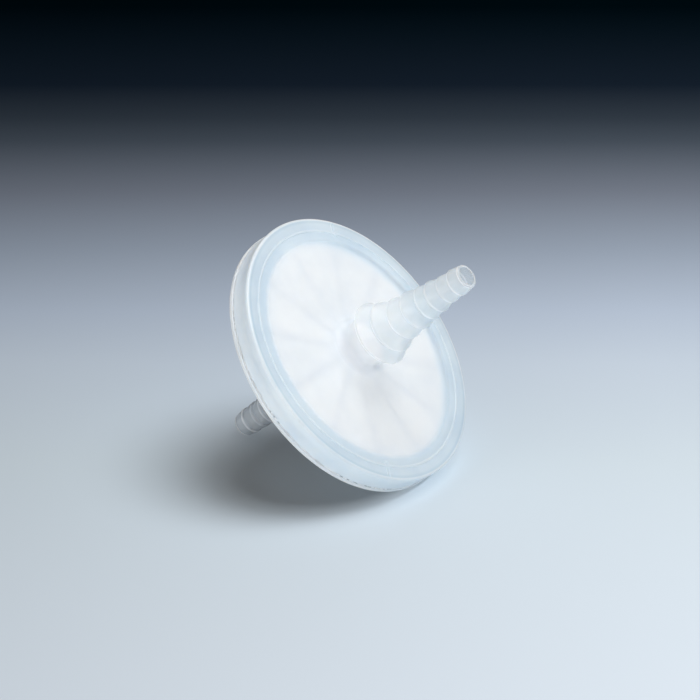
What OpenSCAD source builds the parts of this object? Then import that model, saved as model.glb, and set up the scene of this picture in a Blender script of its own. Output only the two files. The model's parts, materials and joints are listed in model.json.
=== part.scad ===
// Disc filter with a stepped hose nozzle on each side.
// Two moulded halves are welded at the rim and hold a flat membrane between them.
// It lies as it comes to rest: on the rim of its disc and on the tip of the outlet nozzle.
// Every piece is drawn along its own axis, with the back of the disc at z = 0, and then leaned over.

/* [Disc] */
// Diameter over the rim
disc_d = 60; // [50:0.5:90]
// Height between the two flat faces
disc_h = 5.7; // [5:0.1:9]
// Wall of the two flat faces
face_wall = 1.1; // [0.8:0.1:1.4]
// Height of the outlet half's rim, below the seam
rim_h = 0.9; // [0.6:0.1:1]
// How far the side wall draws in between its two edges
waist = 0.2; // [0:0.05:0.5]
// Rounding of the rim and of the nozzle tips
edge_r = 0.2; // [0.05:0.05:0.25]
// Rounding of the edge around the inlet face
face_edge_r = 0.4; // [0.2:0.05:1]
// Height of the groove along the weld seam
seam_h = 0.25; // [0.1:0.05:0.5]
// Depth of the groove along the weld seam
seam_depth = 0.4; // [0.1:0.05:0.8]
// Wall of the inlet half's skirt, which closes over the weld ring
skirt_wall = 2.4; // [1.5:0.1:4]

/* [Face] */
// Distance of the fine bead on the inlet face from the rim
bead_in = 3; // [2:0.1:4]
// Width of that bead
bead_w = 0.6; // [0.3:0.1:1.2]
// Height of that bead
bead_h = 0.15; // [0.05:0.05:0.3]
// Length of the fine ridges that cross the bead, inwards from the edge's rounding
mark_len = 3.6; // [3:0.1:4]
// Width of one such ridge
mark_w = 0.3; // [0.2:0.05:0.5]
// Distance between the two ridges of a pair
mark_pitch = 0.8; // [0.6:0.05:1.2]
// Height of the ridges above the face
mark_h = 0.1; // [0.05:0.05:0.2]
// Turn of the first pair about the filter's axis, in degrees
mark_turn = 147; // [90:1:180]

/* [Nozzle] */
// Diameter at the tip
tip_d = 5.06; // [4.6:0.02:5.4]
// Diameters of the first four steps, from the tip
front_d = [5.84, 6.02, 6.94, 7.36]; // [5.6:0.02:8]
// Diameters of the other four steps, up to the disc
back_d = [8.5, 9.06, 11.1, 13.7]; // [8:0.02:16]
// Lengths of the first four steps, each up to its crest
front_pitch = [2.7, 2.95, 3, 2.8]; // [2:0.05:4]
// Lengths of the other four steps
back_pitch = [3.4, 3.75, 3.7, 3.2]; // [2.5:0.05:5]
// Rounding of the first step's shoulder
small_round = 0.7; // [0.4:0.05:1]
// Rounding of the last step's shoulder
large_round = 1.3; // [0.8:0.05:1.6]
// How far the nozzle drops behind the first step
small_drop = 0.3; // [0.1:0.02:0.4]
// How far it drops behind the last step but one
large_drop = 0.48; // [0.2:0.02:0.7]
// Length from the last step's crest to the disc
neck_len = 6.55; // [5:0.05:10]
// Diameter of the neck between the last step and the disc
neck_d = 10; // [9:0.1:11]
// Rounding where the neck meets the disc
neck_round = 2; // [0.5:0.1:2.5]

/* [Bore] */
// Diameter of the inlet's bore from the tip inwards
bore_d = 4; // [3:0.05:4.2]
// Diameter of the outlet's bore, on a core pin of its own
outlet_bore_d = 3.7; // [3:0.05:4.2]
// Length of each straight bore
bore_len = 18; // [10:0.5:24]
// Diameter of the bore where it opens inside the disc
mouth_d = 7; // [5:0.1:8]

/* [Membrane] */
// Width of the membrane's clamped edge
grip = 1.1; // [0.5:0.1:1.5]
// Thickness of the membrane
membrane_t = 0.15; // [0.1:0.05:0.3]
// Thickness of the fleece under the membrane
fleece_t = 0.3; // [0.2:0.05:0.5]
// Depth of the chamber over the membrane
inlet_depth = 0.55; // [0.4:0.05:0.8]
// Room around the membrane's edge
edge_gap = 0.15; // [0.05:0.05:0.3]

/* [Weld] */
// Wall of the outlet half's ring that enters the inlet half
ring_wall = 1.8; // [1:0.1:2.5]
// Room around that ring
ring_gap = 0.05; // [0.02:0.01:0.1]
// Room above that ring
ring_top_gap = 0.3; // [0.1:0.05:0.5]

/* [Ribs] */
// Number of ribs in each half
rib_count = 12; // [6:1:16]
// Width of a rib
rib_w = 0.6; // [0.5:0.1:1.2]
// Diameter that the ribs leave clear around the bore's mouth
rib_clear_d = 12.4; // [10:0.2:16]
// Turn of the ribs about the filter's axis, in degrees
rib_turn = -3; // [-15:1:15]

/* [Hidden] */
$fn = 96;

overlap = 0.2; // how far joined shapes of one moulding run into each other
arc_steps = 6; // flats in the outline of a rounding
waist_steps = 8;

disc_r = disc_d / 2;
tip_r = tip_d / 2;
neck_r = neck_d / 2;
bore_r = bore_d / 2;
outlet_bore_r = outlet_bore_d / 2;
mouth_r = mouth_d / 2;
bead_r = disc_r - bead_in;

// Heights in the disc, from its back face up
side_low = rim_h + seam_h;
ceiling_z = disc_h - face_wall;
membrane_top = ceiling_z - inlet_depth;
fleece_top = membrane_top - membrane_t;
seat_z = fleece_top - fleece_t;

// Radii inside the disc, from the skirt inwards to the clear window over the membrane
skirt_r = disc_r - skirt_wall;
ring_r = skirt_r - ring_gap;
pocket_r = ring_r - ring_wall;
membrane_r = pocket_r - edge_gap;
window_r = membrane_r - grip;

// Steps of a nozzle, counted from its tip: diameters, and lengths up to each crest
barb_d = concat(front_d, back_d);
barb_pitch = concat(front_pitch, back_pitch);
barb_count = len(barb_d);
function crest(i) = i < 0 ? 0 : crest(i - 1) + barb_pitch[i];
nozzle_len = crest(barb_count - 1) + neck_len;
function barb_round(i) = small_round + (large_round - small_round) * i / (barb_count - 1);
function barb_drop(i) = small_drop + (large_drop - small_drop) * i / (barb_count - 2);

// The rest position: both roundings touch the floor
lean = atan((disc_r - tip_r) / nozzle_len);
lift = (disc_r - edge_r) * cos(lean) + edge_r * (1 - sin(lean));
function reach(z, r) = (z - edge_r) * cos(lean) + (r - edge_r) * sin(lean) + edge_r;
front_x = max(reach(disc_h + nozzle_len, tip_r), reach(disc_h, disc_r));
back_x = -max(reach(nozzle_len, tip_r), reach(0, disc_r));

// Points of an arc about [x, y] from angle a to angle b
function arc(x, y, r, a, b, n = arc_steps) =
    [for (k = [0 : n]) let (t = a + (b - a) * k / n) [x + r * cos(t), y + r * sin(t)]];

// Outline of one step as [radius, height], from its crest down to the drop behind it
function barb_outline(i) = let (
        last = i == barb_count - 1,
        turn = last ? 90 : acos(1 - barb_drop(i) / barb_round(i))
    ) arc(barb_d[i] / 2 - barb_round(i), nozzle_len - crest(i), barb_round(i), 0, -turn);

module stand() {
    translate([-(front_x + back_x) / 2, 0, lift])
        rotate([0, 90 - lean, 0])
            children();
}

module tube(r_out, r_in, z_low, z_high) {
    translate([0, 0, z_low])
        rotate_extrude()
            translate([r_in, 0])
                square([r_out - r_in, z_high - z_low]);
}

// The outside of a nozzle, standing on z = 0
module nozzle_body() {
    steps = [for (i = [0 : barb_count - 1]) each barb_outline(i)];
    rotate_extrude()
        polygon(concat(
            [[0, nozzle_len]],
            arc(tip_r - edge_r, nozzle_len - edge_r, edge_r, 90, 0),
            steps,
            arc(neck_r + neck_round, neck_round, neck_round, 180, 270),
            [[neck_r + neck_round, -overlap], [0, -overlap]]
        ));
}

// The way through a nozzle and the face that carries it
module nozzle_bore(r) {
    rotate_extrude()
        polygon([
            [0, -face_wall - overlap], [mouth_r, -face_wall - overlap], [mouth_r, 0],
            [r, nozzle_len - bore_len], [r, nozzle_len + overlap], [0, nozzle_len + overlap]
        ]);
}

// Straight ribs from the mouth to the ring around the window
module ribs(z_low, z_high) {
    for (k = [0 : rib_count - 1])
        rotate([0, 0, rib_turn + 360 * k / rib_count])
            translate([rib_clear_d / 2, -rib_w / 2, z_low])
                cube([window_r + overlap - rib_clear_d / 2, rib_w, z_high - z_low]);
}

// Two fine ridges side by side across the bead
module mark_pair() {
    for (side = [-1, 1])
        translate([disc_r - face_edge_r - mark_len / 2, side * mark_pitch / 2, disc_h + (mark_h - overlap) / 2])
            cube([mark_len, mark_w, mark_h + overlap], center = true);
}

module inlet_shell() {
    color([0.80, 0.86, 0.91, 0.6]) stand() {
        difference() {
            union() {
                // face, side wall and skirt, with the waist between the two edges
                rotate_extrude()
                    polygon(concat(
                        [[0, ceiling_z], [skirt_r, ceiling_z], [skirt_r, rim_h]],
                        [[disc_r - seam_depth, rim_h], [disc_r - seam_depth, side_low]],
                        [for (k = [0 : waist_steps]) let (u = k / waist_steps)
                            [disc_r - waist * sin(180 * u) - edge_r * (1 - u),
                                side_low + (disc_h - face_edge_r - side_low) * u]],
                        arc(disc_r - face_edge_r, disc_h - face_edge_r, face_edge_r, 0, 90),
                        [[0, disc_h]]
                    ));
                tube(membrane_r, window_r, membrane_top, ceiling_z + overlap);
                ribs(membrane_top, ceiling_z + overlap);
                // bead and marks on the face
                translate([0, 0, disc_h])
                    rotate_extrude()
                        polygon([
                            [bead_r - bead_w / 2, -overlap], [bead_r - bead_w / 2, 0],
                            [bead_r - bead_w / 4, bead_h], [bead_r + bead_w / 4, bead_h],
                            [bead_r + bead_w / 2, 0], [bead_r + bead_w / 2, -overlap]
                        ]);
                for (turn = [mark_turn, mark_turn + 180])
                    rotate([0, 0, turn]) mark_pair();
                translate([0, 0, disc_h]) nozzle_body();
            }
            translate([0, 0, disc_h]) nozzle_bore(bore_r);
        }
    }
}

module outlet_shell() {
    color([0.80, 0.86, 0.91, 0.6]) stand() {
        difference() {
            union() {
                // face, rim, seat for the membrane's edge and weld ring
                rotate_extrude()
                    polygon(concat(
                        [[0, 0]],
                        arc(disc_r - edge_r, edge_r, edge_r, -90, 0),
                        arc(disc_r - edge_r, rim_h - edge_r, edge_r, 0, 90),
                        [[ring_r, rim_h], [ring_r, ceiling_z - ring_top_gap],
                            [pocket_r, ceiling_z - ring_top_gap], [pocket_r, seat_z],
                            [window_r, seat_z], [window_r, face_wall], [0, face_wall]]
                    ));
                ribs(face_wall - overlap, seat_z);
                mirror([0, 0, 1]) nozzle_body();
            }
            mirror([0, 0, 1]) nozzle_bore(outlet_bore_r);
        }
    }
}

module membrane() {
    color("white") stand()
        translate([0, 0, fleece_top])
            cylinder(r = membrane_r, h = membrane_t);
}

module support_fleece() {
    color("gainsboro") stand()
        translate([0, 0, seat_z])
            cylinder(r = membrane_r, h = fleece_t);
}

inlet_shell();
outlet_shell();
membrane();
support_fleece();
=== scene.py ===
import json
import math

import bpy
from mathutils import Matrix, Vector


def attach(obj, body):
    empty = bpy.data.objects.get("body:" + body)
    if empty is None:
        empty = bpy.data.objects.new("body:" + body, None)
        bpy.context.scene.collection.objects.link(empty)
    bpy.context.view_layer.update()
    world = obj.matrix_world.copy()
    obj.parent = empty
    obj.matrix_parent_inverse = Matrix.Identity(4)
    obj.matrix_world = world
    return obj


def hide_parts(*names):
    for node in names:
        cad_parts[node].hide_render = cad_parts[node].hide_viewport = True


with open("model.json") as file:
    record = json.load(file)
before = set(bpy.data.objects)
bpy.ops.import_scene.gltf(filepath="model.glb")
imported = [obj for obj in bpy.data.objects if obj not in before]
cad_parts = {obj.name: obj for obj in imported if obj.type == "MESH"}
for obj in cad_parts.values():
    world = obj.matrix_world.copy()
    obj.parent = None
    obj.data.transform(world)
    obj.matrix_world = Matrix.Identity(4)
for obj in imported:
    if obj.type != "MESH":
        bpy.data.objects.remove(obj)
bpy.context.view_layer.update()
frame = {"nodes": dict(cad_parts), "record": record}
print("frame loaded:", ", ".join(sorted(frame["nodes"])))

mm = 0.001
fullTurn = 2 * math.pi
roundSteps = 180  # faces around the filter's axis
mergeGap = 0.002 * mm  # points closer than this become one

# Sizes in mm, and heights in mm along the filter's axis from the back face
disc = {
    "radius": 30.0,
    "height": 5.7,
    "faceWall": 1.1,
    "edgeRounding": 0.2,
    "faceEdgeRounding": 0.4,
    "rimHeight": 0.9,
    "seamHeight": 0.25,
    "seamDepth": 0.4,
    "waist": 0.2,
    "waistSteps": 8,
    "beadInset": 3.0,  # from the rim to the fine bead on the inlet face
    "beadWidth": 0.6,
    "beadHeight": 0.15,
    "skirtRadius": 27.6,
    "ringRadius": 27.55,
    "pocketRadius": 25.75,
    "membraneRadius": 25.6,
    "windowRadius": 24.5,
    "ceiling": 4.6,
    "ringTop": 4.3,
    "membraneTop": 4.05,
    "fleeceTop": 3.9,
    "seat": 3.6,
}

mounts = {mount["name"]: mount for mount in frame["record"]["mounts"]}
inletTip = Vector(mounts["inlet_hose_barb"]["pos_m"])
outletTip = Vector(mounts["outlet_hose_barb"]["pos_m"])
filterAxis = (inletTip - outletTip).normalized()
nozzleLength = ((inletTip - outletTip).length / mm - disc["height"]) / 2
backFace = outletTip + filterAxis * nozzleLength * mm
leaned = Matrix.Translation(backFace) @ Matrix.Rotation(math.acos(filterAxis.z), 4, "Y")
print("nozzle length", round(nozzleLength, 3), "mm")


def deselectAll():
    bpy.ops.object.select_all(action="DESELECT")


def pickOnly(piece):
    deselectAll()
    piece.select_set(True)
    bpy.context.view_layer.objects.active = piece


def applyPlace():
    bpy.ops.object.transform_apply(location=True, rotation=True, scale=True)


# Points of an arc about (x, z) from one angle to another, in degrees
def arcPoints(x, z, radius, start, end, count):
    turns = [math.radians(start + (end - start) * k / count) for k in range(count + 1)]
    return [(x + radius * math.cos(t), z + radius * math.sin(t)) for t in turns]


# Draws a closed outline of (radius, height) in mm by extruding one vertex,
# then spins it about the filter's axis
def spinOutline(name, outline, steps):
    deselectAll()
    start = outline[0]
    bpy.ops.mesh.primitive_plane_add(size=mm, location=(start[0] * mm, 0, start[1] * mm))
    piece = bpy.context.object
    piece.name = piece.data.name = name
    applyPlace()
    bpy.ops.object.mode_set(mode="EDIT")
    bpy.ops.mesh.select_mode(type="VERT")
    bpy.ops.mesh.select_all(action="SELECT")
    bpy.ops.mesh.merge(type="CENTER")
    for here, there in zip(outline, outline[1:] + outline[:1]):
        step = ((there[0] - here[0]) * mm, 0, (there[1] - here[1]) * mm)
        bpy.ops.mesh.extrude_vertices_move(TRANSFORM_OT_translate={"value": step})
    bpy.ops.mesh.select_all(action="SELECT")
    bpy.ops.mesh.remove_doubles(threshold=mergeGap)
    bpy.ops.mesh.spin(steps=steps, angle=fullTurn, center=(0, 0, 0), axis=(0, 0, 1))
    bpy.ops.mesh.select_all(action="SELECT")
    bpy.ops.mesh.remove_doubles(threshold=mergeGap)
    bpy.ops.mesh.normals_make_consistent(inside=False)
    bpy.ops.object.mode_set(mode="OBJECT")
    return piece


def applyModifiers(piece):
    pickOnly(piece)
    for modifier in list(piece.modifiers):
        bpy.ops.object.modifier_apply(modifier=modifier.name)


# Moves a piece drawn along its own axis to where the filter lies, and leaves its object at the origin
def layDown(piece):
    pickOnly(piece)
    piece.matrix_world = leaned
    applyPlace()


def smooth(piece, degrees=30):
    pickOnly(piece)
    bpy.ops.object.shade_smooth_by_angle(angle=math.radians(degrees))


# The steps run from the tip to the disc, and each length ends at the step's crest
nozzle = {
    "tipRadius": 2.53,
    "tipRounding": 0.2,
    "stepDiameters": (5.84, 6.02, 6.94, 7.36, 8.5, 9.06, 11.1, 13.7),
    "stepLengths": (2.7, 2.95, 3.0, 2.8, 3.4, 3.75, 3.7, 3.2),
    "smallRounding": 0.7,
    "largeRounding": 1.3,
    "smallDrop": 0.3,
    "largeDrop": 0.48,
    "neckRadius": 5.0,
    "neckRounding": 2.0,
    "boreRadius": 2.0,
    "outletBoreRadius": 1.85,
    "boreLength": 18.0,
    "mouthRadius": 3.5,
}


# Outside of a nozzle from its tip to its root, as (radius, height over the disc)
def nozzleOutline():
    last = len(nozzle["stepDiameters"]) - 1
    moreRounding = nozzle["largeRounding"] - nozzle["smallRounding"]
    moreDrop = nozzle["largeDrop"] - nozzle["smallDrop"]
    tip = nozzle["tipRounding"]
    points = arcPoints(nozzle["tipRadius"] - tip, nozzleLength - tip, tip, 90, 0, 6)
    crest = nozzleLength
    for step, (diameter, length) in enumerate(zip(nozzle["stepDiameters"], nozzle["stepLengths"])):
        crest -= length
        rounding = nozzle["smallRounding"] + moreRounding * step / last
        drop = nozzle["smallDrop"] + moreDrop * step / (last - 1)
        turn = 90 if step == last else math.degrees(math.acos(1 - drop / rounding))
        points += arcPoints(diameter / 2 - rounding, crest, rounding, 0, -turn, 8)
    fillet = nozzle["neckRounding"]
    points += arcPoints(nozzle["neckRadius"] + fillet, fillet, fillet, 180, 270, 10)
    return points


# The inlet half: nozzle, face with its bead, side wall with its waist, skirt, clamp ring and bore
def inletOutline():
    top = disc["height"]
    low = disc["rimHeight"] + disc["seamHeight"]
    rounding = disc["faceEdgeRounding"]
    outside = [(radius, height + top) for radius, height in nozzleOutline()]
    bead = disc["radius"] - disc["beadInset"]
    foot, crown = disc["beadWidth"] / 2, disc["beadWidth"] / 4
    beadTop = top + disc["beadHeight"]
    face = [(bead - foot, top), (bead - crown, beadTop), (bead + crown, beadTop), (bead + foot, top)]
    edge = arcPoints(disc["radius"] - rounding, top - rounding, rounding, 90, 0, 6)
    side = []
    for k in range(disc["waistSteps"] - 1, -1, -1):
        up = k / disc["waistSteps"]
        inset = disc["waist"] * math.sin(math.pi * up) + disc["edgeRounding"] * (1 - up)
        side.append((disc["radius"] - inset, low + (top - rounding - low) * up))
    inner = [
        (disc["radius"] - disc["seamDepth"], low),
        (disc["radius"] - disc["seamDepth"], disc["rimHeight"]),
        (disc["skirtRadius"], disc["rimHeight"]),
        (disc["skirtRadius"], disc["ceiling"]),
        (disc["membraneRadius"], disc["ceiling"]),
        (disc["membraneRadius"], disc["membraneTop"]),
        (disc["windowRadius"], disc["membraneTop"]),
        (disc["windowRadius"], disc["ceiling"]),
    ]
    bore = [
        (nozzle["mouthRadius"], disc["ceiling"]),
        (nozzle["mouthRadius"], top),
        (nozzle["boreRadius"], top + nozzleLength - nozzle["boreLength"]),
        (nozzle["boreRadius"], top + nozzleLength),
    ]
    return outside + face + edge + side + inner + bore


# The outlet half: nozzle, back face, rim, the ring that enters the inlet half, the seat and bore
def outletOutline():
    outside = [(radius, -height) for radius, height in nozzleOutline()]
    rounding = disc["edgeRounding"]
    rim = arcPoints(disc["radius"] - rounding, rounding, rounding, -90, 0, 5)
    rim += arcPoints(disc["radius"] - rounding, disc["rimHeight"] - rounding, rounding, 0, 90, 5)
    inner = [
        (disc["ringRadius"], disc["rimHeight"]),
        (disc["ringRadius"], disc["ringTop"]),
        (disc["pocketRadius"], disc["ringTop"]),
        (disc["pocketRadius"], disc["seat"]),
        (disc["windowRadius"], disc["seat"]),
        (disc["windowRadius"], disc["faceWall"]),
    ]
    bore = [
        (nozzle["mouthRadius"], disc["faceWall"]),
        (nozzle["mouthRadius"], 0),
        (nozzle["outletBoreRadius"], nozzle["boreLength"] - nozzleLength),
        (nozzle["outletBoreRadius"], -nozzleLength),
    ]
    return outside + rim + inner + bore


# A block drawn beside the axis, in mm, and then turned about it by so many degrees
def turnedBlock(place, size, turn):
    deselectAll()
    bpy.ops.mesh.primitive_cube_add(size=mm, location=[along * mm for along in place])
    block = bpy.context.object
    block.scale = size
    applyPlace()
    block.rotation_euler.z = math.radians(turn)
    applyPlace()
    return block


# Joins blocks to a shell by a boolean, and clears the slivers that it leaves
def uniteWith(shell, blocks):
    deselectAll()
    for block in blocks:
        block.select_set(True)
    bpy.context.view_layer.objects.active = blocks[0]
    bpy.ops.object.join()
    union = shell.modifiers.new("union", "BOOLEAN")
    union.operation = "UNION"
    union.solver = "EXACT"
    union.object = blocks[0]
    applyModifiers(shell)
    bpy.data.objects.remove(blocks[0])
    bpy.ops.object.mode_set(mode="EDIT")
    bpy.ops.mesh.select_all(action="SELECT")
    bpy.ops.mesh.remove_doubles(threshold=mergeGap)
    bpy.ops.mesh.dissolve_degenerate(threshold=mergeGap)
    bpy.ops.object.mode_set(mode="OBJECT")


# In mm and degrees. Clear is the radius left free of ribs, and overlap how far they run into a wall
ribs = {"count": 12, "width": 0.6, "clear": 6.2, "turn": -3.0, "overlap": 0.2}


# Ribs from near the bore's mouth to just inside the chamber's wall
def addRibs(shell, low, high):
    span = disc["windowRadius"] + ribs["overlap"] - ribs["clear"]
    place = (ribs["clear"] + span / 2, 0, (low + high) / 2)
    size = (span, ribs["width"], high - low)
    turns = [ribs["turn"] + 360 * k / ribs["count"] for k in range(ribs["count"])]
    uniteWith(shell, [turnedBlock(place, size, turn) for turn in turns])


marks = {"length": 3.6, "width": 0.3, "pitch": 0.8, "height": 0.1, "turn": 147.0}


# Two pairs of fine ridges across the bead of the inlet face, opposite each other
def addMarks(shell):
    middle = disc["radius"] - disc["faceEdgeRounding"] - marks["length"] / 2
    size = (marks["length"], marks["width"], marks["height"] * 2)
    blocks = []
    for turn in (marks["turn"], marks["turn"] + 180):
        for side in (-0.5, 0.5):
            blocks.append(turnedBlock((middle, side * marks["pitch"], disc["height"]), size, turn))
    uniteWith(shell, blocks)


inletShell = spinOutline("inletShell", inletOutline(), roundSteps)
addRibs(inletShell, disc["membraneTop"], disc["ceiling"] + ribs["overlap"])
addMarks(inletShell)
outletShell = spinOutline("outletShell", outletOutline(), roundSteps)
addRibs(outletShell, disc["faceWall"] - ribs["overlap"], disc["seat"])
print("housing modelled:", len(inletShell.data.polygons), len(outletShell.data.polygons), "faces")


weldFlash = {
    "radius": 29.74,
    "thickness": 0.12,
    "height": 1.02,
    "waviness": 0.24,
    "lumpSize": 0.9,
    "segments": 256,
    "sides": 8,
}


# The thin irregular bead of plastic that welding leaves in the groove between the two halves
def makeWeldFlash():
    deselectAll()
    bpy.ops.mesh.primitive_torus_add(
        major_radius=weldFlash["radius"] * mm, minor_radius=weldFlash["thickness"] * mm,
        major_segments=weldFlash["segments"], minor_segments=weldFlash["sides"],
        location=(0, 0, weldFlash["height"] * mm),
    )
    flash = bpy.context.object
    flash.name = flash.data.name = "weldFlash"
    applyPlace()
    lumps = bpy.data.textures.new("flashLumps", "CLOUDS")
    lumps.noise_scale = weldFlash["lumpSize"] * mm
    lumps.noise_depth = 2
    wave = flash.modifiers.new("lumps", "DISPLACE")
    wave.texture = lumps
    wave.texture_coords = "LOCAL"
    wave.strength = weldFlash["waviness"] * mm
    wave.mid_level = 0.5
    applyModifiers(flash)
    return flash


weldBead = makeWeldFlash()
print("weld flash:", len(weldBead.data.polygons), "faces")

sheetGap = 0.03  # room over and under each sheet, for its ripple
film = {"radius": 25.58, "rounding": 0.04, "rings": 32, "ripple": 0.05, "rippleSize": 5.0}
felt = {"radius": 25.58, "rounding": 0.1, "rings": 32, "ripple": 0.06, "rippleSize": 0.9}


# A round sheet with rounded edges, rings of faces to carry its ripple, and both sides closed at the middle
def roundSheet(name, sheet, low, high):
    rounding = sheet["rounding"]
    edge = sheet["radius"] - rounding
    top = [(edge * k / sheet["rings"], high) for k in range(sheet["rings"])]
    lip = arcPoints(edge, high - rounding, rounding, 90, 0, 3)
    lip += arcPoints(edge, low + rounding, rounding, 0, -90, 3)
    under = [(radius, low) for radius, height in reversed(top)]
    piece = spinOutline(name, top + lip + under, roundSteps)
    clouds = bpy.data.textures.new(name + "Ripple", "CLOUDS")
    clouds.noise_scale = sheet["rippleSize"] * mm
    swell = piece.modifiers.new("ripple", "DISPLACE")
    swell.texture = clouds
    swell.texture_coords = "LOCAL"
    swell.direction = "Z"
    swell.strength = sheet["ripple"] * mm
    applyModifiers(piece)
    return piece


membraneDisc = roundSheet("membraneDisc", film, disc["fleeceTop"] + sheetGap, disc["membraneTop"] - sheetGap)
fleeceDisc = roundSheet("fleeceDisc", felt, disc["seat"] + sheetGap, disc["fleeceTop"] - sheetGap)
print("membrane and fleece:", len(membraneDisc.data.polygons), len(fleeceDisc.data.polygons), "faces")


# Faces of the chamber between two heights, of the ribs, the weld and the bore get the second material
def markFaces(shell, low, high):
    slack = 0.01
    chamberRadius = disc["radius"] - disc["seamDepth"] - 0.05  # just inside the seam's groove
    for face in shell.data.polygons:
        x, y, z = face.center / mm
        radius = math.hypot(x, y)
        outward = (face.normal.x * x + face.normal.y * y) / radius
        chamber = radius < chamberRadius and low - slack < z < high + slack
        bore = radius < nozzle["mouthRadius"] + slack and outward < -0.5
        face.material_index = 1 if chamber or bore else 0


# Links a socket to another, or sets it to a value
def feed(tree, socket, value):
    if isinstance(value, bpy.types.NodeSocket):
        tree.links.new(value, socket)
    else:
        socket.default_value = value


# Feeds a node's sockets by their titles, where _ stands for a space
def feedNode(tree, node, **titled):
    for title, value in titled.items():
        feed(tree, node.inputs[title.replace("_", " ")], value)


# Adds a node, sets its properties, then feeds its sockets in their order and by their titles
def addNode(tree, kind, *values, settings=None, **titled):
    node = tree.nodes.new("ShaderNode" + kind)
    for name, value in (settings or {}).items():
        setattr(node, name, value)
    for socket, value in zip(node.inputs, values):
        feed(tree, socket, value)
    feedNode(tree, node, **titled)
    return node


# The result of a Math node
def calculate(tree, operation, *values, clamp=False):
    node = addNode(tree, "Math", *values, settings={"operation": operation, "use_clamp": clamp})
    return node.outputs["Value"]


# A share from 0 to 1 as a value between low and high
def between(tree, share, low, high):
    return addNode(tree, "MapRange", Value=share, To_Min=low, To_Max=high).outputs["Result"]


# A smooth step of a value, from 0 at low to 1 at high
def smoothStep(tree, value, low, high):
    node = addNode(
        tree, "MapRange", settings={"interpolation_type": "SMOOTHSTEP"},
        Value=value, From_Min=low, From_Max=high,
    )
    return node.outputs["Result"]


# A colour ramp over a value, with stops of (value, colour) between low and high
def rampOver(tree, value, low, high, stops):
    spread = addNode(tree, "MapRange", Value=value, From_Min=low, From_Max=high)
    ramp = addNode(tree, "ValToRGB", Fac=spread.outputs["Result"])
    while len(ramp.color_ramp.elements) < len(stops):
        ramp.color_ramp.elements.new(0.5)
    for element, (where, colour) in zip(ramp.color_ramp.elements, stops):
        element.position = (where - low) / (high - low)
        element.color = (*colour, 1)
    return ramp.outputs["Color"]


def mixColours(tree, blend, share, first, second):
    node = addNode(tree, "Mix", share, settings={"data_type": "RGBA", "blend_type": blend})
    for socket, value in ((node.inputs[6], first), (node.inputs[7], second)):
        feed(tree, socket, value if isinstance(value, bpy.types.NodeSocket) else (*value, 1))
    return node.outputs[2]


# Object coordinates turned so that Z runs along the filter's axis from the back face
def filterPlace(tree):
    place = addNode(tree, "TexCoord")
    turned = addNode(
        tree, "Mapping", settings={"vector_type": "TEXTURE"},
        Vector=place.outputs["Object"], Location=leaned.translation, Rotation=leaned.to_euler(),
    )
    return turned.outputs["Vector"]


vectorSocket, numberSocket, colourSocket = "NodeSocketVector", "NodeSocketFloat", "NodeSocketColor"


# A node group with inputs of (title, kind, value) and outputs of (title, kind)
def newGroup(name, inputs, outputs):
    group = bpy.data.node_groups.new(name, "ShaderNodeTree")
    for title, kind, value in inputs:
        socket = group.interface.new_socket(name=title, in_out="INPUT", socket_type=kind)
        if value is not None:
            socket.default_value = value
    for title, kind in outputs:
        group.interface.new_socket(name=title, in_out="OUTPUT", socket_type=kind)
    start = group.nodes.new("NodeGroupInput")
    end = group.nodes.new("NodeGroupOutput")
    return group, start, end


def placeGroup(tree, group, **titled):
    node = tree.nodes.new("ShaderNodeGroup")
    node.node_tree = group
    feedNode(tree, node, **titled)
    return node


# How far a point is from the axis and along it, in mm
def makeRoundPlace():
    group, start, end = newGroup(
        "roundPlace", [("Vector", vectorSocket, None)],
        [("Radius", numberSocket), ("Height", numberSocket)],
    )
    place = start.outputs["Vector"]
    flat = addNode(group, "VectorMath", place, (1 / mm, 1 / mm, 0), settings={"operation": "MULTIPLY"})
    length = addNode(group, "VectorMath", flat.outputs["Vector"], settings={"operation": "LENGTH"})
    apart = addNode(group, "SeparateXYZ", Vector=place)
    height = calculate(group, "MULTIPLY", apart.outputs["Z"], 1 / mm)
    feedNode(group, end, Radius=length.outputs["Value"], Height=height)
    return group


# Moulded surface: cloudy flow in the colour, uneven gloss, and a fine grain
def makeMouldedSurface():
    group, start, end = newGroup(
        "mouldedSurface",
        [
            ("Vector", vectorSocket, None), ("Flow Size", numberSocket, 120.0),
            ("Grain Size", numberSocket, 2500.0), ("Light Tone", colourSocket, (0.8, 0.9, 0.95, 1)),
            ("Deep Tone", colourSocket, (0.7, 0.84, 0.92, 1)), ("Gloss", numberSocket, 0.35),
            ("Unevenness", numberSocket, 0.1),
        ],
        [("Color", colourSocket), ("Roughness", numberSocket), ("Height", numberSocket)],
    )
    given = start.outputs
    flow = addNode(
        group, "TexNoise", Vector=given["Vector"], Scale=given["Flow Size"], Detail=3.0, Roughness=0.5,
    )
    cloud = addNode(group, "MapRange", Value=flow.outputs["Fac"], From_Min=0.35, From_Max=0.65)
    tone = mixColours(group, "MIX", cloud.outputs["Result"], given["Deep Tone"], given["Light Tone"])
    grain = addNode(
        group, "TexNoise", Vector=given["Vector"], Scale=given["Grain Size"], Detail=2.0, Roughness=0.6,
    )
    gloss = calculate(group, "MULTIPLY_ADD", flow.outputs["Fac"], given["Unevenness"], given["Gloss"])
    feedNode(group, end, Color=tone, Roughness=gloss, Height=grain.outputs["Fac"])
    return group


roundPlace = makeRoundPlace()
mouldedSurface = makeMouldedSurface()

ribPrints = {
    "border": (24.6, 23.0),  # radii in mm between which a rib line ends
    "core": 0.12,  # share of a rib line's width that is at its full strength
}
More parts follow.
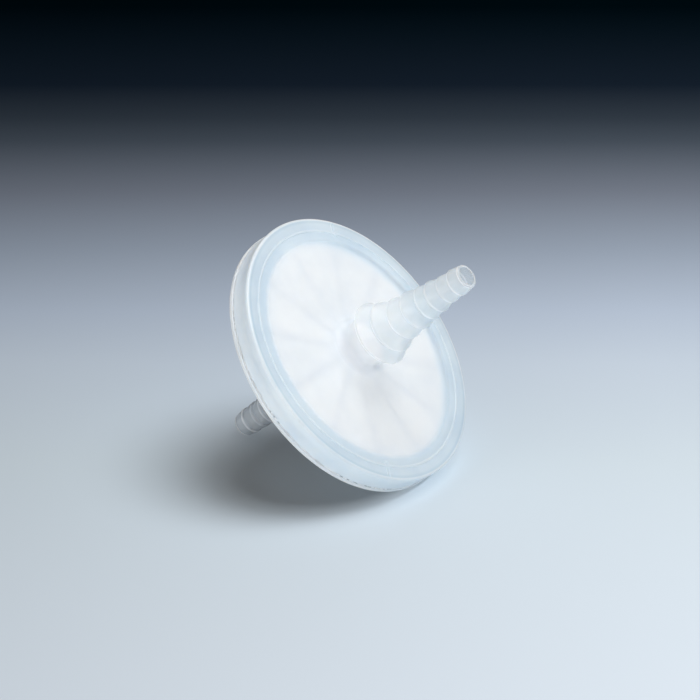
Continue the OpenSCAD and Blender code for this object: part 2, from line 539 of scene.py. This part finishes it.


# Along the ribs on a sheet, where they press on it: 1 along a rib, falling to 0 on both sides and before the
# sheet's border. On the film it carries painted shade of the ribs
def makeRibPrint():
    group, start, end = newGroup(
        "ribPrint", [("Vector", vectorSocket, None), ("Half Width", numberSocket, 1.6)],
        [("Print", numberSocket)],
    )
    around = placeGroup(group, roundPlace, Vector=start.outputs["Vector"])
    border = smoothStep(group, around.outputs["Radius"], *ribPrints["border"])
    apart = addNode(group, "SeparateXYZ", Vector=start.outputs["Vector"])
    angle = calculate(group, "ARCTAN2", apart.outputs["Y"], apart.outputs["X"])
    turned = calculate(group, "ADD", angle, math.radians(-ribs["turn"]) + fullTurn)
    folded = calculate(group, "PINGPONG", turned, fullTurn / ribs["count"] / 2)
    across = calculate(group, "MULTIPLY", folded, around.outputs["Radius"])
    spread = calculate(group, "DIVIDE", across, start.outputs["Half Width"])
    pressed = smoothStep(group, spread, 1.0, ribPrints["core"])
    feedNode(group, end, Print=calculate(group, "MULTIPLY", pressed, border))
    return group


ribPrint = makeRibPrint()


def newMaterial(name):
    material = bpy.data.materials.new(name)
    material.use_nodes = True
    return material, material.node_tree, material.node_tree.nodes["Principled BSDF"]


plastic = {
    "lightTone": (0.69, 0.755, 0.80),
    "deepTone": (0.62, 0.695, 0.755),
    # tone of the painted highlights on edges and arcs and of the painted light at the nozzle's root; also
    # the weld flash's own light tone
    "brightTone": (0.93, 0.96, 0.98),
    # darker tone of painted shade for the outlet nozzle, which lies in the filter's shadow
    "outletShadeTone": (0.29, 0.325, 0.36),
    "gloss": 0.45,
    "unevenness": 0.1,
    "flowSize": 110.0,
    "grainSize": 2600.0,
    "grainStrength": 0.15,
    "grainDepth": 0.00003,
    "index": 1.49,  # of refraction
    "scatter": 0.003,
    "scatterTint": (0.9, 1.0, 1.1),
    "coat": 0.15,
    "coatRoughness": 0.3,
    "windowCover": 0.38,  # how much of what lies behind it a thin wall hides
    "rimCover": 0.88,
    "nozzleCover": 0.47,
    "outletCover": 0.27,
    "ledgeCover": 0.25,
    "grazingCover": 0.5,  # how much more it hides where it is seen edge on
    "grazingBlend": 0.25,
    "insideCover": 0.06,
    "shadowLoss": 0.86,  # light that passes the plastic where an opaque wall would stop it
    "windowEdge": (24.1, 25.5),  # radii between which the thin window turns into the rim
    "sideEdge": (29.4, 29.65),  # radii between which a face turns into the side wall
    "nozzleStart": (0.3, 6.0),  # heights over a face between which the nozzle's own cover sets in
    "thickRoot": (24.0, 4.0),  # heights over the inlet face between which its wall grows thick and the painted light at the root sets in
    "rootWhiteAndLit": 0.55,  # how much whiter the nozzle is at its root, from its thick milky wall and from painted light that lifts the shade there
    "outletShadeDepth": (-1.0, -6.0),  # heights below the back face between which the outlet nozzle takes its darker painted shade
}

# Painted light and shade across the two faces by radius, from the window to the rim: darker bands over the
# hollows inside, a lighter painted highlight along the bead, then a dark line and a bright painted highlight
# at the outer edge
faceLightSpan = (20, 30)
faceLightBands = (
    (22.0, (1, 1, 1)), (24.4, (0.96, 0.98, 1.0)), (25.6, (0.92, 0.95, 0.98)), (26.5, (0.90, 0.94, 0.97)),
    (26.8, (0.94, 0.965, 0.99)), (27.2, (0.94, 0.965, 0.99)), (27.5, (0.92, 0.955, 0.985)),
    (28.7, (0.94, 0.97, 0.99)), (29.2, (0.80, 0.875, 0.92)), (29.35, (0.82, 0.89, 0.93)),
    (29.55, (1.05, 1.05, 1.06)),
)

# Painted shade on the rounded edge between the side wall and the inlet face, by height
edgeShadeSpan = (4.8, 5.8)
edgeShade = (
    (4.8, (1, 1, 1)), (5.2, (1, 1, 1)), (5.4, (0.95, 0.965, 0.98)), (5.68, (0.95, 0.965, 0.98)),
    (5.7, (1, 1, 1)),
)

# Painted highlights on the side wall: height of each bright line from the back face up, its width and its
# strength
sideHighlightSpan = (-1, 7)
sideHighlights = ((0.08, 0.1, 0.8), (0.82, 0.1, 0.1), (1.24, 0.1, 0.1))

# Painted highlights: bright arcs just below the nozzle's tip and below the crest of each step, in mm. The
# strengths run from the tip to the disc
highlightArcs = {
    "tipBelow": 0.28,
    "tipWidth": 0.2,
    "below": 0.12,
    "width": 0.28,
    "span": (2, 36),  # from the disc's middle
    "strengths": (0.9, 0.8, 0.35, 0.5, 0.5, 0.1, 0.0, 0.0, 0.05),
}


# The painted highlight arcs as (distance from the disc's middle, width, strength), from the disc to the tip
def highlightArcLines():
    crest = nozzleLength + disc["height"] / 2
    lines = [(crest - highlightArcs["tipBelow"], highlightArcs["tipWidth"], highlightArcs["strengths"][0])]
    for length, strength in zip(nozzle["stepLengths"], highlightArcs["strengths"][1:]):
        crest -= length
        lines.insert(0, (crest - highlightArcs["below"], highlightArcs["width"], strength))
    return lines


# Brightness of a row of soft lines over a value, as a ramp
def lineRamp(tree, value, low, high, lines):
    stops = [(low, (0, 0, 0))]
    for middle, width, strength in lines:
        stops += [(middle - width, (0, 0, 0)), (middle, (strength,) * 3), (middle + width, (0, 0, 0))]
    stops = [stop for stop in stops if low <= stop[0] <= high]
    return rampOver(tree, value, low, high, stops)


# The moulded surface in the tones, gloss and grain of one finish
def placeSkin(tree, place, finish):
    return placeGroup(
        tree, mouldedSurface, Vector=place,
        Light_Tone=(*finish["lightTone"], 1), Deep_Tone=(*finish["deepTone"], 1),
        Gloss=finish["gloss"] - finish["unevenness"] / 2, Unevenness=finish["unevenness"],
        Flow_Size=finish["flowSize"], Grain_Size=finish["grainSize"],
    )


# Painted light and shade in bands across the faces and on the rounded edge, whiter at the inlet nozzle's
# root from its thick wall and painted light, darker painted shade on the outlet nozzle, and painted
# highlights on its arcs and edges
def housingTone(tree, skin, radius, height, tower, arcHighlight):
    # Painted light and shade in bands across the faces
    across = rampOver(tree, radius, *faceLightSpan, faceLightBands)
    toned = mixColours(tree, "MULTIPLY", 1.0, skin.outputs["Color"], across)
    # Painted shade on the rounded edge of the inlet face
    up = rampOver(tree, height, *edgeShadeSpan, edgeShade)
    toned = mixColours(tree, "MULTIPLY", 1.0, toned, up)
    # Whiter at the inlet nozzle's root: its thick milky wall, and painted light that lifts the shade there
    thinned, thickened = plastic["thickRoot"]
    rooted = smoothStep(tree, height, disc["height"] + thinned, disc["height"] + thickened)
    rootMask = calculate(tree, "MULTIPLY", rooted, tower)
    whiter = calculate(tree, "MULTIPLY", rootMask, plastic["rootWhiteAndLit"])
    toned = mixColours(tree, "MIX", whiter, toned, plastic["brightTone"])
    # Darker painted shade on the outlet nozzle, which sits in the filter's shadow
    behind = smoothStep(tree, height, *plastic["outletShadeDepth"])
    toned = mixColours(tree, "MIX", behind, toned, plastic["outletShadeTone"])
    # Painted highlights along the arcs below the nozzles' tips and step crests
    toned = mixColours(tree, "MIX", arcHighlight, toned, plastic["brightTone"])
    # Painted highlights along the lines of the side wall's edges
    outermost = smoothStep(tree, radius, *plastic["sideEdge"])
    edgeHighlights = calculate(tree, "MULTIPLY", lineRamp(tree, height, *sideHighlightSpan, sideHighlights), outermost)
    return mixColours(tree, "MIX", edgeHighlights, toned, plastic["brightTone"])


# How much the housing hides: little over the window, much at the rim, and more where it is seen edge on
def housingCover(tree, radius, height, tower, arcHighlight):
    thin = plastic["windowCover"]
    thick = smoothStep(tree, radius, *plastic["windowEdge"])
    cover = calculate(tree, "MULTIPLY_ADD", thick, plastic["rimCover"] - thin, thin)
    front = smoothStep(tree, height, 0, disc["height"])
    nozzleCover = calculate(
        tree, "MULTIPLY_ADD", front,
        plastic["nozzleCover"] - plastic["outletCover"], plastic["outletCover"] - thin,
    )
    cover = calculate(tree, "MULTIPLY_ADD", tower, nozzleCover, cover)
    cover = calculate(tree, "MULTIPLY_ADD", arcHighlight, plastic["ledgeCover"], cover)
    facing = addNode(tree, "LayerWeight", Blend=plastic["grazingBlend"]).outputs["Facing"]
    return calculate(tree, "MULTIPLY_ADD", facing, plastic["grazingCover"], cover, clamp=True)


# A wall of milky plastic lets part of the light through, so it casts a pale shadow
def lightThrough(tree, cover):
    path = addNode(tree, "LightPath")
    kept = calculate(tree, "MULTIPLY_ADD", path.outputs["Is Shadow Ray"], -plastic["shadowLoss"], 1.0)
    return calculate(tree, "MULTIPLY", cover, kept)


def finishPlastic(tree, shader, skin, tone, cover):
    grain = addNode(
        tree, "Bump", Strength=plastic["grainStrength"], Distance=plastic["grainDepth"],
        Height=skin.outputs["Height"],
    )
    feedNode(
        tree, shader, Base_Color=tone, Alpha=cover, Roughness=skin.outputs["Roughness"],
        Normal=grain.outputs["Normal"], IOR=plastic["index"], Subsurface_Weight=1,
        Subsurface_Radius=plastic["scatterTint"], Subsurface_Scale=plastic["scatter"],
        Coat_Weight=plastic["coat"], Coat_Roughness=plastic["coatRoughness"],
    )


# Milky polypropylene, with painted highlights on its edges and arcs where light leaves it
def makeOuterPlastic():
    material, tree, shader = newMaterial("milkyPolypropylene")
    place = filterPlace(tree)
    skin = placeSkin(tree, place, plastic)
    around = placeGroup(tree, roundPlace, Vector=place)
    radius, height = around.outputs["Radius"], around.outputs["Height"]
    middle = disc["height"] / 2
    apart = calculate(tree, "ABSOLUTE", calculate(tree, "SUBTRACT", height, middle))
    sets, full = plastic["nozzleStart"]
    tower = smoothStep(tree, apart, middle + sets, middle + full)
    arcHighlight = lineRamp(tree, apart, *highlightArcs["span"], highlightArcLines())
    tone = housingTone(tree, skin, radius, height, tower, arcHighlight)
    cover = housingCover(tree, radius, height, tower, arcHighlight)
    finishPlastic(tree, shader, skin, tone, lightThrough(tree, cover))
    return material


# The same plastic seen from inside, where only its skin's own sheen is left to show
def makeInnerPlastic():
    material, tree, shader = newMaterial("milkyPolypropyleneInside")
    skin = placeSkin(tree, filterPlace(tree), plastic)
    finishPlastic(tree, shader, skin, skin.outputs["Color"], plastic["insideCover"])
    return material


flashLook = {
    "lightTone": plastic["brightTone"],
    "deepTone": plastic["deepTone"],
    "gapShadeTone": (0.34, 0.41, 0.47),
    "gloss": plastic["gloss"],
    "unevenness": 0.2,
    "flowSize": 500.0,
    "grainSize": 4000.0,
    "speckScale": 900.0,
    "patchScale": 60.0,
    "specks": (0.53, 0.6),  # a higher pair leaves fewer and smaller specks
    "patches": (0.49, 0.55),  # a higher pair leaves fewer stretches with specks
    "cover": 0.95,
}


# Squeezed-out weld plastic: bright and lumpy, with specks of painted shade for the shadowed gaps in the
# flash
def makeFlashPlastic():
    material, tree, shader = newMaterial("weldedPolypropylene")
    place = filterPlace(tree)
    skin = placeSkin(tree, place, flashLook)
    specks = addNode(
        tree, "TexNoise", Vector=place, Scale=flashLook["speckScale"], Detail=1.0, Roughness=0.4,
    )
    patches = addNode(tree, "TexNoise", Vector=place, Scale=flashLook["patchScale"], Detail=1.0)
    # Specks of painted shade where the flash leaves shadowed gaps
    gapShade = calculate(
        tree, "MULTIPLY", smoothStep(tree, specks.outputs["Fac"], *flashLook["specks"]),
        smoothStep(tree, patches.outputs["Fac"], *flashLook["patches"]),
    )
    toned = mixColours(tree, "MIX", gapShade, skin.outputs["Color"], flashLook["gapShadeTone"])
    finishPlastic(tree, shader, skin, toned, flashLook["cover"])
    return material


filmLook = {
    "whiteTone": (0.85, 0.815, 0.80),
    # painted shade of the ribs on the film, along where they also press on it
    "alongRibTone": (0.785, 0.755, 0.76),
    "sealedTone": (0.65, 0.71, 0.75),
    "pressed": 1.6,  # half the width of the painted rib shade and print, in mm
    "sealedEdge": (24.1, 25.3),  # radii between which the sealed edge sets in
    "roughness": (0.8, 1.0),
    "waveScale": 160.0,
    "waveDepth": 0.0002,
    "poreScale": 5000.0,
    "poreDepth": 0.00002,
}


# Porous film: white, matt, faintly rippled, with painted shade of the ribs where they press on it, and
# bluish at its sealed edge
def makeFilm():
    material, tree, shader = newMaterial("porousFilm")
    place = filterPlace(tree)
    ripple = addNode(
        tree, "TexNoise", Vector=place, Scale=filmLook["waveScale"], Detail=2.0, Roughness=0.5,
    )
    pores = addNode(
        tree, "TexNoise", Vector=place, Scale=filmLook["poreScale"], Detail=2.0, Roughness=0.7,
    )
    around = placeGroup(tree, roundPlace, Vector=place)
    ribLines = placeGroup(tree, ribPrint, Vector=place, Half_Width=filmLook["pressed"])
    # Painted shade of the ribs, along where they press on the film
    toned = mixColours(
        tree, "MIX", ribLines.outputs["Print"], filmLook["whiteTone"], filmLook["alongRibTone"],
    )
    sealed = smoothStep(tree, around.outputs["Radius"], *filmLook["sealedEdge"])
    toned = mixColours(tree, "MIX", sealed, toned, filmLook["sealedTone"])
    rough = between(tree, pores.outputs["Fac"], *filmLook["roughness"])
    wave = addNode(
        tree, "Bump", Strength=0.5, Distance=filmLook["waveDepth"], Height=ripple.outputs["Fac"],
    )
    fine = addNode(
        tree, "Bump", Strength=0.2, Distance=filmLook["poreDepth"], Height=pores.outputs["Fac"],
        Normal=wave.outputs["Normal"],
    )
    feedNode(tree, shader, Base_Color=toned, Roughness=rough, Normal=fine.outputs["Normal"])
    return material


feltLook = {
    "deepTone": (0.82, 0.84, 0.86),
    "fibreTone": (0.96, 0.97, 0.98),
    "alongRibTone": (0.66, 0.70, 0.74),
    "pressed": 1.1,  # half the width of the print that a rib leaves, in mm
    "lays": (20, 80, 140),  # directions of the fibres, in degrees
    "fibreSize": (900, 6000, 900),
    "matted": (0.5, 0.75),  # a higher pair shows fewer fibres on the mat
    "roughness": (0.85, 1.0),
    "patchScale": 300.0,
    "pileDepth": 0.00008,
}


# Non-woven fleece: short crossed fibres pressed into a mat, deeper where the ribs press on it
def makeFelt():
    material, tree, shader = newMaterial("nonWovenFleece")
    place = filterPlace(tree)
    strands = []
    for lay in feltLook["lays"]:
        along = addNode(
            tree, "Mapping", Vector=place, Rotation=(0, 0, math.radians(lay)), Scale=feltLook["fibreSize"],
        )
        fibres = addNode(
            tree, "TexNoise", Vector=along.outputs["Vector"], Scale=1.0, Detail=2.0, Distortion=1.2,
        )
        strands.append(fibres.outputs["Fac"])
    mat = calculate(tree, "MAXIMUM", calculate(tree, "MAXIMUM", strands[0], strands[1]), strands[2])
    level = smoothStep(tree, mat, *feltLook["matted"])
    matted = mixColours(tree, "MIX", level, feltLook["deepTone"], feltLook["fibreTone"])
    ribLines = placeGroup(tree, ribPrint, Vector=place, Half_Width=feltLook["pressed"])
    toned = mixColours(tree, "MIX", ribLines.outputs["Print"], matted, feltLook["alongRibTone"])
    patches = addNode(tree, "TexNoise", Vector=place, Scale=feltLook["patchScale"], Detail=2.0)
    rough = between(tree, patches.outputs["Fac"], *feltLook["roughness"])
    pile = addNode(tree, "Bump", Strength=0.8, Distance=feltLook["pileDepth"], Height=level)
    feedNode(tree, shader, Base_Color=toned, Roughness=rough, Normal=pile.outputs["Normal"])
    return material


outerPlastic = makeOuterPlastic()
innerPlastic = makeInnerPlastic()
for shell, low in ((inletShell, disc["rimHeight"]), (outletShell, disc["faceWall"])):
    shell.data.materials.clear()
    shell.data.materials.append(outerPlastic)
    shell.data.materials.append(innerPlastic)
    markFaces(shell, low, disc["ceiling"])
for piece, material in (
    (membraneDisc, makeFilm()), (fleeceDisc, makeFelt()), (weldBead, makeFlashPlastic()),
):
    piece.data.materials.clear()
    piece.data.materials.append(material)

for piece, node, slot in (
    (inletShell, "inlet_shell", "housing"), (outletShell, "outlet_shell", "housing"),
    (membraneDisc, "membrane", "membrane"), (fleeceDisc, "support_fleece", "fleece"),
    (weldBead, None, "housing"),
):
    layDown(piece)
    smooth(piece)
    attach(piece, "root")
    if node:
        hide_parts(node)
print("materials placed")

# Sizes in metres
table = {
    "size": 6,
    "below": 0.0002,  # a hair under the filter, so that the two don't touch
    "turn": -29.9,  # turn of the painted fall-off in degrees, so that its own Y runs back into the dark
    "reach": (-0.2, 0.4),  # where along Y the tones below begin and end
    "sides": (-0.09, 0.07),  # where along X the painted shade is deepest and the painted light strongest
    "roughness": 0.8,
}

# Painted fall-off of light on the table, by how far it lies behind the filter: pale in front, dark at the
# back
tableFalloffTones = (
    (-0.10, (0.62, 0.70, 0.78)), (0.0, (0.53, 0.61, 0.67)), (0.05, (0.47, 0.545, 0.63)),
    (0.08, (0.39, 0.46, 0.56)), (0.12, (0.26, 0.31, 0.385)), (0.16, (0.15, 0.175, 0.22)),
    (0.20, (0.054, 0.07, 0.092)), (0.22, (0.028, 0.039, 0.054)), (0.25, (0.007, 0.013, 0.023)),
    (0.33, (0, 0.003, 0.005)),
)
# Painted shade on the table's left and painted light on its right
leftShadeTone = (0.91, 0.91, 0.91)
rightLightTone = (1.12, 1.11, 1.10)


# Matt table whose colour carries painted fall-off of light: dark at the back, darker on the left and lighter
# on the right
def makeTableWithPaintedLight():
    material, tree, shader = newMaterial("tablePaintedLight")
    place = addNode(tree, "TexCoord")
    turned = addNode(
        tree, "Mapping", Vector=place.outputs["Object"], Rotation=(0, 0, math.radians(table["turn"])),
    )
    apart = addNode(tree, "SeparateXYZ", Vector=turned.outputs["Vector"])
    fading = rampOver(tree, apart.outputs["Y"], *table["reach"], tableFalloffTones)
    left, right = table["sides"]
    across = rampOver(tree, apart.outputs["X"], left, right, ((left, leftShadeTone), (right, rightLightTone)))
    toned = mixColours(tree, "MULTIPLY", 1.0, fading, across)
    feedNode(tree, shader, Base_Color=toned, Roughness=table["roughness"], Specular_IOR_Level=0)
    return material


deselectAll()
bpy.ops.mesh.primitive_plane_add(size=table["size"], location=(0, 0, -table["below"]))
floor = bpy.context.object
floor.name = "floor"
floor.data.materials.append(makeTableWithPaintedLight())

studio = {"airTone": (1.0, 0.70, 0.48), "airStrength": 0.105, "aim": (0, 0, 0.02)}
lamps = {
    "topLight": {
        "shape": "DISK", "from": (0.29, 0.16, 0.94), "away": 0.7, "size": (0.42, 0.42),
        "watts": 5.05, "colour": (0.96, 0.98, 1.0),
    },
    "sideLight": {
        "shape": "RECTANGLE", "from": (-0.24, -0.97, 0.115), "away": 0.9, "size": (0.9, 0.2),
        "watts": 5.4, "colour": (1.0, 0.97, 0.93),
    },
}

world = bpy.data.worlds.new("studio")
bpy.context.scene.world = world
world.use_nodes = True
air = world.node_tree.nodes["Background"]
feedNode(world.node_tree, air, Color=(*studio["airTone"], 1), Strength=studio["airStrength"])

for lampName, values in lamps.items():
    where = Vector(values["from"]).normalized() * values["away"]
    bpy.ops.object.light_add(type="AREA", location=where)
    lamp = bpy.context.object
    lamp.name = lampName
    lamp.data.shape = values["shape"]
    lamp.data.size, lamp.data.size_y = values["size"]
    lamp.data.energy = values["watts"]
    lamp.data.color = values["colour"]
    lamp.rotation_euler = (Vector(studio["aim"]) - where).to_track_quat("-Z", "Y").to_euler()

view = {"from": (0.2502, -0.4355, 0.2491), "at": (-0.00023, 0, 0.02527), "lens": 137.2, "nearest": 0.01}
camera = bpy.data.objects.new("camera", bpy.data.cameras.new("camera"))
bpy.context.scene.collection.objects.link(camera)
camera.location = view["from"]
camera.rotation_euler = (Vector(view["at"]) - camera.location).to_track_quat("-Z", "Y").to_euler()
camera.data.lens = view["lens"]
camera.data.clip_start = view["nearest"]
bpy.context.scene.camera = camera
bpy.context.scene.view_settings.view_transform = "Standard"
bpy.context.scene.cycles.transparent_max_bounces = 24  # light crosses up to a dozen skins of plastic
print("studio set")
